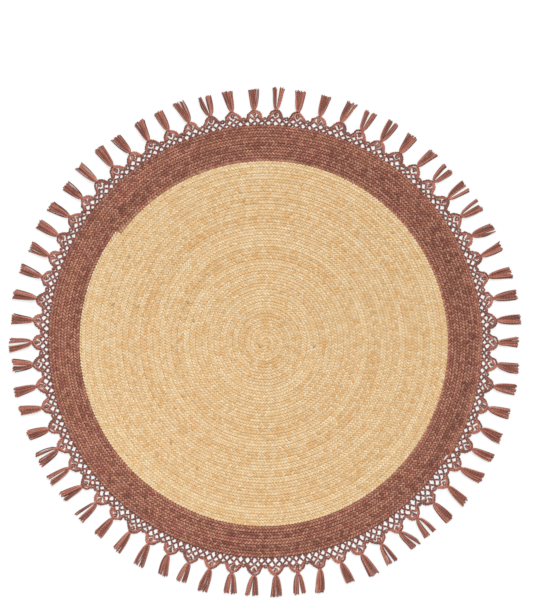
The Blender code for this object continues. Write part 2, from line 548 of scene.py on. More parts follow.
@dataclass
class CordTree:
    """Lays twisted cord along guide paths.

    Args:
        plies: how many plies are twisted together.
        sides: sides round each ply.
        lone: a single ply's radius as a share of the cord's width.
        twisted: each ply's radius where there are more, as the same share.
        swing: how far such a ply's middle is from the cord's, as the same share.
    """

    plies: int = 2
    sides: int = 4
    lone: float = 0.5
    twisted: float = 0.27
    swing: float = 0.24

    def sketch(self) -> TreeSketch:
        """Draws the tree.

        Returns:
            A tree with the inputs Width, Twist, Step and Finish.
        """
        sketch = TreeSketch.for_shape(f"twisted_cord_{self.plies}_ply")
        width, twist = sketch.size("Width"), sketch.size("Twist")
        step = sketch.size("Step")
        material = sketch.size("Finish", "NodeSocketMaterial")
        guide = Field(sketch, sketch.entry.outputs["Geometry"])
        route = sketch.take("GeometryNodeMeshToCurve", {0: guide})
        smooth = {"spline_type": "CATMULL_ROM"}
        route = sketch.take("GeometryNodeCurveSplineType", {"Curve": route}, **smooth)
        spaced = {"Curve": route, "Length": step}
        route = sketch.take("GeometryNodeResampleCurve", spaced, mode="LENGTH")
        route = sketch.take("GeometryNodeSetCurveNormal", {"Curve": route}, mode="Z_UP")
        length = sketch.take("GeometryNodeSplineParameter", out="Length")
        route = sketch.keep(route, "along", length)
        normal = sketch.take("GeometryNodeInputNormal")
        tangent = sketch.take("GeometryNodeInputTangent")
        upright = sketch.combine("CROSS_PRODUCT", tangent, normal)
        share = self.lone if self.plies == 1 else self.twisted
        profile = sketch.profile(self.sides, width * share)
        shapes = []
        for ply in range(self.plies):
            turned = length / twist * FULL_TURN + FULL_TURN * ply / self.plies
            swing = width * (self.swing if self.plies > 1 else 0.0)
            outward = sketch.scaled(normal, turned.cos() * swing)
            upward = sketch.scaled(upright, turned.sin() * swing)
            offset = sketch.combine("ADD", outward, upward)
            placed = sketch.take("GeometryNodeSetPosition", {"Geometry": route, "Offset": offset})
            shapes.append(sketch.strand(placed, profile))
        sketch.finish(shapes, material)
        return sketch


@dataclass
class Coil:
    """The flat coil that the braid follows, clockwise from above.

    Args:
        natural_turns: turns of undyed braid.
        last_turn: where the braid ends, in turns.
        taper_turn: where it starts to narrow.
        change_angle: the angle at which each whole turn ends.
        core_turn: where the braid starts, folded tight, in turns.
        step_down: the turns over which the edge drops past the braid's end.
    """

    natural_turns: float = 30.0
    last_turn: float = 35.485
    taper_turn: float = 35.0
    change_angle: float = math.radians(143)
    core_turn: float = 0.22
    step_down: float = 0.012

    def __post_init__(self) -> None:
        """Reads the coil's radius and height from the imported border."""
        low, high = (Vector(corner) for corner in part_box("dyed_braid"))
        self.radius = max(-low.x, -low.y, high.x, high.y)
        self.height = high.z - low.z
        self.pitch = self.radius / (self.taper_turn + 0.5)

    def length_to(self, turn: float) -> float:
        """The length of braid from the centre to a turn."""
        return math.pi * self.pitch * turn * turn

    def turn_at(self, length: float) -> float:
        """The turn that a length of braid reaches."""
        return math.sqrt(length / (math.pi * self.pitch))

    def shared_out(self, first: float, last: float, parts: int) -> list[tuple[float, float]]:
        """Stretches of the coil between two turns that hold equal lengths of braid."""
        stops = np.linspace(self.length_to(first), self.length_to(last), parts + 1)
        turns = [self.turn_at(stop) for stop in stops]
        return list(zip(turns, turns[1:]))

    def edge(self, angle: float) -> float:
        """The radius of the coil's outer edge at an angle, dipping where the braid has ended."""
        reached = ((self.change_angle - angle) / FULL_TURN) % 1.0
        ended = self.last_turn % 1.0
        if reached <= ended:
            return self.radius
        dropped = min((reached - ended) / self.step_down, 1.0)
        return self.radius - self.pitch * (1.0 - reached) * dropped


@dataclass
class PlaitedBraid:
    """Three jute ribbons plaited flat and coiled. Dyeing shrinks them, so dyed braid is knobblier.

    Args:
        coil: the coil to follow.
        lay: length over which a ribbon crosses the braid and comes back.
        sway: how far a ribbon's middle moves to either side.
        lift: how far it moves up and down.
        lag: how far along its crossing, in radians, it is still low.
        ribbon_width: the ribbon's width.
        ribbon_thickness: its thickness.
        step: length between two sections.
        wander: how far the turns wander from a true coil.
        loose_lay: how far the lay tightens and slackens, in radians.
        slip: how far a single lobe slips to either side.
        heave: how far a single lobe rises or sinks.
        footing: the least height of a ribbon's middle, as a share of its thickness.
        narrows: how much of its width the braid loses over one turn of its end.
        ribbon_sides: sides round a ribbon.
    """

    coil: Coil
    lay: float = 0.021
    sway: float = 0.0050
    lift: float = 0.0019
    lag: float = 0.55
    ribbon_width: float = 0.0048
    ribbon_thickness: float = 0.0039
    step: float = 0.00235
    wander: float = 0.0030
    loose_lay: float = 6.0
    slip: float = 0.0020
    heave: float = 0.0008
    footing: float = 0.56
    narrows: float = 0.9
    ribbon_sides: int = 6

    def sketch(self) -> TreeSketch:
        """Draws the tree that plaits one stretch of the coil.

        Returns:
            A tree with named inputs for every size of the braid.
        """
        sketch = TreeSketch.for_shape("plaited_braid")
        pitch, first, last = (sketch.size(name) for name in ("Pitch", "First Turn", "Last Turn"))
        taper, change = sketch.size("Taper Turn"), sketch.size("Change Angle")
        lay, sway, lift, lag = (sketch.size(name) for name in ("Lay", "Sway", "Lift", "Lag"))
        width, thickness = sketch.size("Ribbon Width"), sketch.size("Ribbon Thickness")
        height, step, wander = (sketch.size(name) for name in ("Height", "Step", "Wander"))
        loose_lay = sketch.size("Loose Lay")
        material = sketch.size("Finish", "NodeSocketMaterial")
        start = first * first * pitch * math.pi
        stop = last * last * pitch * math.pi
        count = ((stop - start) / step).floor() + 1.0
        line = sketch.take("GeometryNodeMeshLine", {"Count": count})
        index = sketch.take("GeometryNodeInputIndex")
        along = start + index * (stop - start) / (count - 1.0)
        turn = (along / (pitch * math.pi)).root()
        angle = change - turn * FULL_TURN
        narrowing = (turn - taper).least(0.0)
        plump = (1.0 - narrowing * self.narrows).most(1.0)
        around_rug = sketch.vector(angle.cos() * 1.6, angle.sin() * 1.6, turn * 0.12)
        drift = (sketch.noise(around_rug, 1.0) - 0.5) * wander * (turn / 6.0).most(1.0)
        middle = pitch * (turn - narrowing * 0.5) + drift
        profile = sketch.profile(self.ribbon_sides, 0.5)
        flattened = {"Geometry": profile, "Scale": sketch.vector(width, thickness, 1.0)}
        profile = sketch.take("GeometryNodeTransform", flattened)
        shapes = []
        for ribbon in range(3):
            pulled = sketch.noise(sketch.vector(along * 9.0, 0.5, 3.3), 1.0) * loose_lay
            phase = along / lay * FULL_TURN + pulled + FULL_TURN * ribbon / 3
            loose = sketch.noise(sketch.vector(along * 90.0, ribbon * 5.3, 1.0), 1.0) - 0.5
            sideways = phase.sin() * sway * plump + loose * self.slip
            radius = middle + sideways
            raised = height + (phase * 2.0 - lag).sin() * lift + loose * self.heave
            raised = raised.least(thickness * self.footing)
            place = sketch.vector(radius * angle.cos(), radius * angle.sin(), raised)
            laid = sketch.take("GeometryNodeSetPosition", {"Geometry": line, "Position": place})
            lobe = ((phase - lag * 0.5) / math.pi + 0.25).floor()
            stored = (("along", along), ("ring", turn), ("strand", float(ribbon)), ("lobe", lobe))
            for name, value in stored:
                laid = sketch.keep(laid, name, value)
            curve = sketch.take("GeometryNodeMeshToCurve", {0: laid})
            curve = sketch.take("GeometryNodeSetCurveNormal", {"Curve": curve}, mode="Z_UP")
            swell = plump * (1.0 + loose * 0.5)
            curve = sketch.take("GeometryNodeSetCurveRadius", {"Curve": curve, "Radius": swell})
            shapes.append(sketch.strand(curve, profile))
        sketch.finish(shapes, material)
        return sketch

    def plait(
        self, node: str, first: float, last: float, parts: int, finish: Finish, slot: Slot
    ) -> list[bpy.types.Object]:
        """Plaits one length of braid in parts small enough to export whole.

        Args:
            node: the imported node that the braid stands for.
            first: the turn it starts at.
            last: the turn it ends at.
            parts: how many pieces it is made in.
            finish: what it is dyed.
            slot: the record's slot for it.

        Returns:
            The pieces.
        """
        sketch = self.sketch()
        pieces = []
        for number, (start, stop) in enumerate(self.coil.shared_out(first, last, parts), 1):
            sizes = {
                "Pitch": self.coil.pitch,
                "First Turn": start,
                "Last Turn": stop,
                "Taper Turn": self.coil.taper_turn,
                "Change Angle": self.coil.change_angle,
                "Lay": self.lay,
                "Sway": self.sway,
                "Lift": self.lift,
                "Lag": self.lag,
                "Ribbon Width": self.ribbon_width,
                "Ribbon Thickness": self.ribbon_thickness,
                "Height": self.coil.height / 2,
                "Step": self.step,
                "Wander": self.wander,
                "Loose Lay": self.loose_lay,
                "Finish": finish.material(),
            }
            piece = woven(f"{node}_ribbons_{number}", sketch, sizes)
            settle(piece, ROOT, slot, node)
            pieces.append(piece)
        return pieces


def settle(piece: bpy.types.Object, body: str, slot: Slot, *nodes: str) -> None:
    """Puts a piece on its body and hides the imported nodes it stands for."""
    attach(piece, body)
    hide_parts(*nodes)


BEHAVIOUR = frame["record"]["behaviour"]
ROOT = next(name for name, nodes in BEHAVIOUR["bodies"].items() if "natural_braid" in nodes)


@dataclass
class SeamSewing:
    """Short stitches that cross the seam between two turns.

    Args:
        coil: the coil whose seam is sewn.
        spacing: length of seam between two stitches.
        reach: length of a stitch.
        thread: the thread's thickness.
        sunk: how far under the braid's top a stitch's middle lies.
        dive: how far its ends go down from there.
        crown: how high its bow rises.
        slant: how far a stitch may slant from square, in radians.
        seed: what the stitches' small differences follow.
    """

    coil: Coil
    spacing: float = 0.019
    reach: float = 0.0095
    thread: float = 0.0008
    sunk: float = 0.0006
    dive: float = 0.0022
    crown: float = 0.0006
    slant: float = 0.75
    seed: int = 5

    def sketch(self) -> TreeSketch:
        """Draws the tree that sets stitches along the seam.

        Returns:
            A tree with named inputs for the seam and the stitch.
        """
        sketch = TreeSketch.for_shape("seam_stitches")
        pitch, first, last = (sketch.size(name) for name in ("Pitch", "First Turn", "Last Turn"))
        change, spacing = sketch.size("Change Angle"), sketch.size("Spacing")
        reach, thread, height = (sketch.size(name) for name in ("Reach", "Thread", "Height"))
        seed = sketch.size("Seed", "NodeSocketInt")
        material = sketch.size("Finish", "NodeSocketMaterial")
        start = first * first * pitch * math.pi
        stop = last * last * pitch * math.pi
        count = ((stop - start) / spacing).floor()
        line = sketch.take("GeometryNodeMeshLine", {"Count": count})
        index = sketch.take("GeometryNodeInputIndex")
        along = start + (stop - start) * index / count
        turn = (along / (pitch * math.pi)).root()
        angle = change - turn * FULL_TURN
        radius = pitch * (turn + 0.5)
        place = sketch.vector(radius * angle.cos(), radius * angle.sin(), height)
        line = sketch.take("GeometryNodeSetPosition", {"Geometry": line, "Position": place})
        stops = (
            sketch.vector(reach * -0.5, 0.0, -self.dive),
            sketch.vector(reach * -0.25, 0.0, self.crown),
            sketch.vector(reach * 0.25, 0.0, self.crown),
            sketch.vector(reach * 0.5, 0.0, -self.dive),
        )
        stitch = sketch.bow(stops, 5, 4, thread * 0.5)
        turned = sketch.vector(0.0, 0.0, angle + sketch.random(-self.slant, self.slant, seed))
        line = sketch.keep(line, "strand", index)
        sketch.finish([sketch.scatter(line, stitch, turned)], material)
        return sketch

    def sew(
        self, node: str, first: float, last: float, finish: Finish, slot: Slot
    ) -> bpy.types.Object:
        """Sews the seam between two turns of the coil.

        Args:
            node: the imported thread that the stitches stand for.
            first: the turn the seam starts at.
            last: the turn it ends at.
            finish: the thread's finish.
            slot: the record's slot for it.

        Returns:
            The stitches as one piece.
        """
        sizes = {
            "Pitch": self.coil.pitch,
            "First Turn": first,
            "Last Turn": last,
            "Change Angle": self.coil.change_angle,
            "Spacing": self.spacing,
            "Reach": self.reach,
            "Thread": self.thread,
            "Height": self.coil.height - self.sunk,
            "Seed": self.seed,
            "Finish": finish.material(),
        }
        piece = woven(node.replace("thread", "stitches"), self.sketch(), sizes)
        settle(piece, ROOT, slot, node)
        return piece


@dataclass
class LooseFibre:
    """Fine fibres that have worked loose from the ribbons and lie on them.

    Args:
        coil: the coil they lie on.
        length: a fibre's length.
        thickness: its thickness.
        sunk: how far under the braid's top a fibre's middle lies.
        tilt: how far a fibre may tilt, in radians.
        turns: the least and the most that a fibre is turned from the braid's radius.
        scales: the least and the most that its size is scaled by.
        seed: what their places follow.
    """

    coil: Coil
    length: float = 0.016
    thickness: float = 0.00032
    sunk: float = 0.0007
    tilt: float = 0.25
    turns: tuple[float, float] = (0.6, 2.5)
    scales: tuple[float, float] = (0.55, 1.25)
    seed: int = 3

    def sketch(self) -> TreeSketch:
        """Draws the tree that scatters bent fibres over a ring.

        Returns:
            A tree with named inputs for the ring and the fibre.
        """
        sketch = TreeSketch.for_shape("loose_fibres")
        count = sketch.size("Count", "NodeSocketInt")
        inner, outer, height = (sketch.size(name) for name in ("Inner", "Outer", "Height"))
        length, thickness = sketch.size("Length"), sketch.size("Thickness")
        seed = sketch.size("Seed", "NodeSocketInt")
        material = sketch.size("Finish", "NodeSocketMaterial")
        line = sketch.take("GeometryNodeMeshLine", {"Count": count})
        index = sketch.take("GeometryNodeInputIndex")
        share = (index + sketch.random(0.0, 1.0, seed)) / count
        radius = (inner * inner + share * (outer * outer - inner * inner)).root()
        angle = index * GOLDEN_ANGLE + sketch.random(-0.5, 0.5, seed + 1.0)
        place = sketch.vector(radius * angle.cos(), radius * angle.sin(), height)
        line = sketch.take("GeometryNodeSetPosition", {"Geometry": line, "Position": place})
        line = sketch.keep(sketch.keep(line, "strand", index), "ring", radius / self.coil.pitch)
        stops = (
            sketch.vector(length * -0.5, 0.0, -0.0016),
            sketch.vector(length * -0.2, length * 0.16, 0.0008),
            sketch.vector(length * 0.2, length * 0.12, 0.0002),
            sketch.vector(length * 0.5, 0.0, -0.0012),
        )
        fibre = sketch.bow(stops, 4, 3, thickness * 0.5)
        spin = angle + sketch.random(*self.turns, seed + 2.0)
        turned = sketch.vector(sketch.random(-self.tilt, self.tilt, seed), 0.0, spin)
        scale = sketch.random(*self.scales, seed + 3.0)
        sketch.finish([sketch.scatter(line, fibre, turned, scale)], material)
        return sketch

    def strew(
        self, name: str, count: int, inner: float, outer: float, finish: Finish, slot: Slot
    ) -> bpy.types.Object:
        """Scatters fibres over a ring of the coil.

        Args:
            name: the piece's name.
            count: how many fibres.
            inner: the ring's inner radius.
            outer: its outer radius.
            finish: the fibres' finish.
            slot: the record's slot for them; not used.

        Returns:
            The fibres as one piece.
        """
        sizes = {
            "Count": count,
            "Inner": inner,
            "Outer": outer,
            "Height": self.coil.height - self.sunk,
            "Length": self.length,
            "Thickness": self.thickness,
            "Seed": self.seed,
            "Finish": finish.material(),
        }
        piece = woven(name, self.sketch(), sizes)
        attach(piece, ROOT)
        return piece


@dataclass
class GapShadeSheet:
    """A flat sheet under the ribbons that closes the braid's small gaps, standing in for the shade seen
    down between them; its finish darkens it with painted shade by its low height.

    Args:
        coil: the coil it lies in.
        thickness: its thickness.
        sides: sides round it.
    """

    coil: Coil
    thickness: float = 0.0014
    sides: int = 180

    def lay(
        self, name: str, inner: float, outer: float, low: float, finish: Finish, slot: Slot
    ) -> bpy.types.Object:
        """Makes a closed flat ring, or nearly a disc where its inner radius is tiny.

        Args:
            name: the piece's name.
            inner: the inner radius.
            outer: the outer radius.
            low: the height of its underside.
            finish: the braid's finish that colours it, painted shade included.
            slot: the record's slot for it; not used.

        Returns:
            The piece.
        """
        high = low + self.thickness
        rings = [(inner, low), (inner, high), (outer, high), (outer, low)]
        turned = FULL_TURN * np.arange(self.sides) / self.sides
        points = [(r * math.cos(a), r * math.sin(a), z) for a in turned for r, z in rings]
        faces = []
        for k in range(self.sides):
            near, far = 4 * k, 4 * ((k + 1) % self.sides)
            faces += [(near + i, far + i, far + (i + 1) % 4, near + (i + 1) % 4) for i in range(4)]
        mesh = bpy.data.meshes.new(name)
        mesh.from_pydata(points, [], faces)
        mesh.materials.append(finish.material())
        radii = np.tile([r for r, _ in rings], self.sides)
        lengths = radii * np.repeat(turned, len(rings))
        heights = np.tile([z for _, z in rings], self.sides)
        # The heights feed the finish's painted shade.
        stored = {"ring": radii / self.coil.pitch, "along": lengths, "rise": heights}
        for label, values in stored.items():
            mesh.attributes.new(label, "FLOAT", "POINT").data.foreach_set("value", values)
        piece = bpy.data.objects.new(name, mesh)
        bpy.context.scene.collection.objects.link(piece)
        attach(piece, ROOT)
        log.info("%s: %d faces", name, len(faces))
        return piece


@dataclass
class KnottedNet:
    """The cotton edge: a diamond net knotted on a cord, blunt points and their tassels.

    Offsets are outwards from the border's edge. Shares count points round the rug.

    Args:
        coil: the coil it edges.
        points: how many points there are.
        cells: diamonds in the width of a point.
        cord: the cord's thickness.
        edge_cord: the thickness of the cord right round the border.
        rows: offsets of the rows of knots, from the one under the border outwards.
        tip: offset of a point's tip.
        level: height of the cords' middles.
        slack: how far a knot may lie from its true place.
        twist: length of cord for one turn of its plies.
        step: length between two sections of a cord.
        knot: a knot's width.
        ride_up: how far the cords and the first knots wander up from the level.
        proud: how far a run's knots sit above the level, and the tips' knots past the tips.
        tip_height: height of the knots at the tips.
        cross_lean: how far a cord turns back before a knot, as a share of its thickness.
        dent: how deep the grooves in a knot are.
        grooves: how close those grooves are, along and across, in radians for each metre.
        bend: how far to either side of a hinge the net bends; not used.
        rim: a point's outer cord, as shares of a point and offsets from its side to its tip.
        liner: the cord just inside the rim.
        fan: the cord from a point's foot to its tip.
    """

    coil: Coil
    points: int = 66
    cells: int = 3
    cord: float = 0.0053
    edge_cord: float = 0.0042
    rows: tuple[float, float, float, float] = (-0.0015, 0.0054, 0.0130, 0.0206)
    tip: float = 0.0365
    level: float = 0.0030
    slack: float = 0.0013
    twist: float = 0.0120
    step: float = 0.0022
    knot: float = 0.0062
    ride_up: float = 0.0004
    proud: float = 0.0005
    tip_height: float = 0.0034
    cross_lean: float = 0.2
    dent: float = 0.00035
    grooves: tuple[float, float] = (3300.0, 1500.0)
    bend: float = 0.005
    rim: Course = (
        (0.48, 0.0140),
        (0.40, 0.0165),
        (0.335, 0.0205),
        (0.29, 0.0255),
        (0.215, 0.0305),
        (0.10, 0.0345),
        (0.0, 0.0365),
    )
    liner: Course = (
        (0.295, 0.0175),
        (0.268, 0.0205),
        (0.22, 0.0250),
        (0.150, 0.0288),
        (0.065, 0.0318),
        (0.0, 0.0334),
    )
    fan: Course = ((0.0, 0.0206), (0.045, 0.0245), (0.055, 0.0285), (0.02, 0.0325))

    def place(self, offset: float, share: float, height: float | None = None) -> Place:
        """A place on the net.

        Args:
            offset: how far out from the border's edge it is.
            share: how many points round it is from the first point's middle.
            height: its height, or the net's own level.

        Returns:
            The place in the rug's frame.
        """
        turned = share % self.points
        out = self.slack * math.sin(23.1 * turned + 700.0 * offset)
        aside = self.slack * math.sin(17.3 * turned + 1.3 + 900.0 * offset)
        angle = FULL_TURN * share / self.points
        fade = min(max(offset / self.rows[2], 0.0), 1.0)
        radius = self.coil.edge(angle) * (1 - fade) + self.coil.radius * fade + offset + out
        angle += aside / radius
        level = self.level if height is None else height
        return (radius * math.cos(angle), radius * math.sin(angle), level)

    def zigzag(self, row: int, first: int, last: int) -> Path:
        """A cord that runs between one row of knots and the next.

        Args:
            row: the row nearer the border.
            first: the half cell it starts at.
            last: the half cell it ends at.

        Returns:
            Its path.
        """
        stops = []
        for half in range(first, last + 1):
            outer = (half + row) % 2
            lean = self.cord * (self.cross_lean if row else 0.0)
            offset = self.rows[row + 1] - lean if outer else self.rows[row] + lean
            height = self.level + self.ride_up * math.sin(2.1 * half + row)
            stops.append(self.place(offset, half / (2 * self.cells), height))
        return np.array(stops)

    def ring(self, offset: float, height: float) -> Path:
        """A cord right round the rug."""
        shares = np.linspace(0, self.points, 6 * self.points + 1)
        return np.array([self.place(offset, share, height) for share in shares])

    def course(self, middle: float, side: int, stops: Course, lift: float) -> Path:
        """A cord of a point through its stops, which rises by a little to its end."""
        heights = self.level + lift * np.arange(len(stops)) / (len(stops) - 1)
        places = zip(stops, heights.tolist())
        return np.array([self.place(out, middle + side * share, z) for (share, out), z in places])

    def point_paths(self, middle: int) -> list[Path]:
        """All the cords of one point outside the diamond net.

        Args:
            middle: the point's number.

        Returns:
            One path for each cord.
        """
        lifts = ((self.rim, 0.0006), (self.liner, 0.0012), (self.fan, 0.0004))
        sides = (-1, 1)
        return [self.course(middle, side, stops, lift) for side in sides for stops, lift in lifts]

    def cords(self, name: str, paths: list[Path], width: float) -> bpy.types.Object:
        """Twisted cords along paths."""
        sizes = {"Width": width, "Twist": self.twist, "Step": self.step}
        sizes["Finish"] = COTTON.material()
        return woven(name, CordTree(sides=6).sketch(), sizes, guide_mesh(f"{name}_paths", paths))

    def knot_sketch(self) -> TreeSketch:
        """Draws the tree that ties a small round knot at each guide point.

        Returns:
            A tree with the inputs Knot Size, Seed and Finish.
        """
        sketch = TreeSketch.for_shape("net_knots")
        size = sketch.size("Knot Size")
        seed = sketch.size("Seed", "NodeSocketInt")
        material = sketch.size("Finish", "NodeSocketMaterial")
        guide = Field(sketch, sketch.entry.outputs["Geometry"])
        guide = sketch.keep(guide, "strand", sketch.take("GeometryNodeInputIndex"))
        ball = sketch.take("GeometryNodeMeshIcoSphere", {"Radius": size * 0.5, "Subdivisions": 3})
        position = sketch.take("GeometryNodeInputPosition")
        wrap = sketch.take("ShaderNodeSeparateXYZ", {0: position}, "X")
        across = sketch.take("ShaderNodeSeparateXYZ", {0: position}, "Y")
        grooves = (wrap * self.grooves[0] + across * self.grooves[1]).sin()
        normal = sketch.take("GeometryNodeInputNormal")
        dent = sketch.scaled(normal, grooves * self.dent)
        ball = sketch.take("GeometryNodeSetPosition", {"Geometry": ball, "Offset": dent})
        ball = sketch.keep(ball, "around", grooves * 0.5)
        turned = sketch.node(
            "FunctionNodeRandomValue",
            {"Min": (0.0, 0.0, 0.0), "Max": (0.3, 0.3, FULL_TURN), "Seed": seed},
            data_type="FLOAT_VECTOR",
        )
        spin = Field(sketch, next(socket for socket in turned.outputs if socket.enabled))
        placed = sketch.scatter(guide, ball, spin, (1.1, 0.95, 0.72))
        sketch.finish([placed], material)
        return sketch

    def knots(self, name: str, places: list[Place]) -> bpy.types.Object:
        """Knots at places."""
        mesh = guide_mesh(f"{name}_places", [np.array(places)])
        sizes = {"Knot Size": self.knot, "Seed": len(places), "Finish": COTTON.material()}
        return woven(name, self.knot_sketch(), sizes, mesh)

    def make_flat_part(self) -> list:
        """Makes the edge cord and the round of net beside it, which stay with the rug.

        Returns:
            The pieces.
        """
        outer = self.ring(self.edge_cord * 0.1, self.level)
        inner = self.ring(-self.edge_cord * 0.5, 0.0050)
        edge = self.cords("edge_cord", [outer, inner], self.edge_cord)
        settle(edge, ROOT, Slot.COTTON_CORD, "foundation_cord")
        count = self.points * self.cells
        net = self.cords("first_round_cords", [self.zigzag(0, 0, 2 * count)], self.cord)
        settle(net, ROOT, Slot.COTTON_CORD, "first_net_round")
        height = self.level + self.ride_up
        shares = [(k + 0.5) / self.cells for k in range(count)]
        places = [self.place(self.rows[1], share, height) for share in shares]
        knots = self.knots("first_round_knots", places)
        settle(knots, ROOT, Slot.COTTON_CORD, "first_net_round")
        return [edge, net, knots]

    def make_run(self, number: int, joint: dict) -> list:
        """Makes one run's cords and knots in place, and hides the imported run they stand for.

        Args:
            number: which run it is, from 0.
            joint: the run's hinge, from the record.

        Returns:
            The pieces.
        """
        middle = 3 * number
        around, reach = 2 * self.cells * middle, 3 * self.cells
        first, last = around - reach, around + reach
        points = (middle - 1, middle, middle + 1)
        paths = [self.zigzag(1, first, last), self.zigzag(2, first, last)]
        for point in points:
            paths += self.point_paths(point)
        net = self.cords(f"fringe_net_{number + 1:02d}", paths, self.cord)
        places = []
        for half in range(first, last):
            row = 2 if half % 2 == 0 else 3
            if half % (2 * self.cells) == self.cells:
                continue
            share = half / (2 * self.cells)
            places.append(self.place(self.rows[row], share, self.level + self.proud))
        tip = self.tip + self.proud
        places += [self.place(tip, point, self.tip_height) for point in points]
        knots = self.knots(f"fringe_knots_{number + 1:02d}", places)
        for part in (net, knots):
            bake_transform(part)
            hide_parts(joint["child"])
        return [net, knots]


@dataclass
class Tassel:
    """One tassel, which lies as it fell.

    Args:
        net: the net it hangs from.
        share: which point it hangs from.
        rng: what its own lie follows.
        side: which end of its run it hangs at, -1 or 1, or 0 between them.
        yarns: how many yarns it has.
        yarn: a yarn's thickness.
        lean: how far tassels lean, as a slope.
        widths: the least and the most of its half width at the cut ends.
        lengths: the least and the most of its length.
        parted: the share of tassels that part in two.
        split: how far from the middle such a tassel parts, as a share of its half width.
        gaps: the least and the most of the gap there, as the same share.
        stray: how far a yarn strays from its even place, as the same share.
        cuts: the least and the most of a yarn's length, as shares of the tassel's.
        curl: how far a yarn curls to either side.
        steps: lengths that a yarn's path is drawn in.
        neck: half the width of the tie, with half its height.
        tie_height: height of the tie's middle.
        room: how far its yarns may lie from its middle line.
        close: the same on the side of the next run, which it would meet when both are lifted.
    """

    net: KnottedNet
    share: int
    rng: random.Random
    side: int = 0
    yarns: int = 22
    yarn: float = 0.0030
    lean: float = 0.10
    widths: tuple[float, float] = (0.0098, 0.0134)
    lengths: tuple[float, float] = (0.047, 0.056)
    parted: float = 0.4
    split: float = 0.4
    gaps: tuple[float, float] = (0.25, 0.6)
    stray: float = 0.12
    cuts: tuple[float, float] = (0.93, 1.04)
    curl: float = 0.0018
    steps: int = 6
    neck: tuple[float, float] = (0.0033, 0.0025)
    tie_height: float = 0.0041
    room: float = 0.0226
    close: float = 0.0156

    def bearings(self) -> tuple[float, Vector, Vector]:
        """The radius it starts at, with the directions outwards and sideways from there."""
        base = self.net.coil.radius + self.net.tip
        angle = FULL_TURN * self.share / self.net.points
        outward = Vector((math.cos(angle), math.sin(angle), 0.0))
        return base, outward, Vector((-math.sin(angle), math.cos(angle), 0.0))

    def paths(self) -> list[Path]:
        """The tassel's yarns, from the tie to the cut ends.

        Returns:
            One path for each yarn.
        """
        lean = self.rng.gauss(0.0, self.lean)
        width = self.rng.uniform(*self.widths)
        length = self.rng.uniform(*self.lengths)
        parted = self.rng.random() < self.parted
        base, outward, sideways = self.bearings()
        split = self.rng.uniform(-self.split, self.split)
        gap = self.rng.uniform(*self.gaps)
        least = -self.close if self.side < 0 else -self.room
        most = self.close if self.side > 0 else self.room
        found = []
        for k in range(self.yarns):
            layer = k % 3
            across = 2 * (k + 0.5) / self.yarns - 1 + self.rng.uniform(-self.stray, self.stray)
            own = length * self.rng.uniform(*self.cuts)
            flare = across + (gap * math.copysign(1, across - split) * 0.6 if parted else 0.0)
            curl = self.rng.uniform(-self.curl, self.curl)
            stops = []
            for step in range(self.steps + 1):
                rise = step / self.steps
                spread = width * flare * rise**0.5 + across * 0.0014 * (1 - rise)
                drift = lean * own * rise**1.2 + curl * math.sin(3 * rise)
                piled = 0.0016 * layer * (1 - 0.55 * rise)
                height = 0.0022 + piled + 0.0006 * math.sin(5 * rise + k)
                aside = min(max(spread + drift, least), most)
                place = outward * (base + own * rise) + sideways * aside
                stops.append((place.x, place.y, height))
            found.append(np.array(stops))
        return found

    def tie(self) -> list[Path]:
        """The yarn wound round the tassel's neck.

        Returns:
            One path.
        """
        base, outward, sideways = self.bearings()
        stops = []
        wide, high = self.neck
        for k in range(17):
            turned = FULL_TURN * 2 * k / 16
            out = base + 0.0026 + 0.0030 * k / 16
            place = outward * out + sideways * (wide * math.cos(turned))
            stops.append((place.x, place.y, self.tie_height + high * math.sin(turned)))
        return [np.array(stops)]


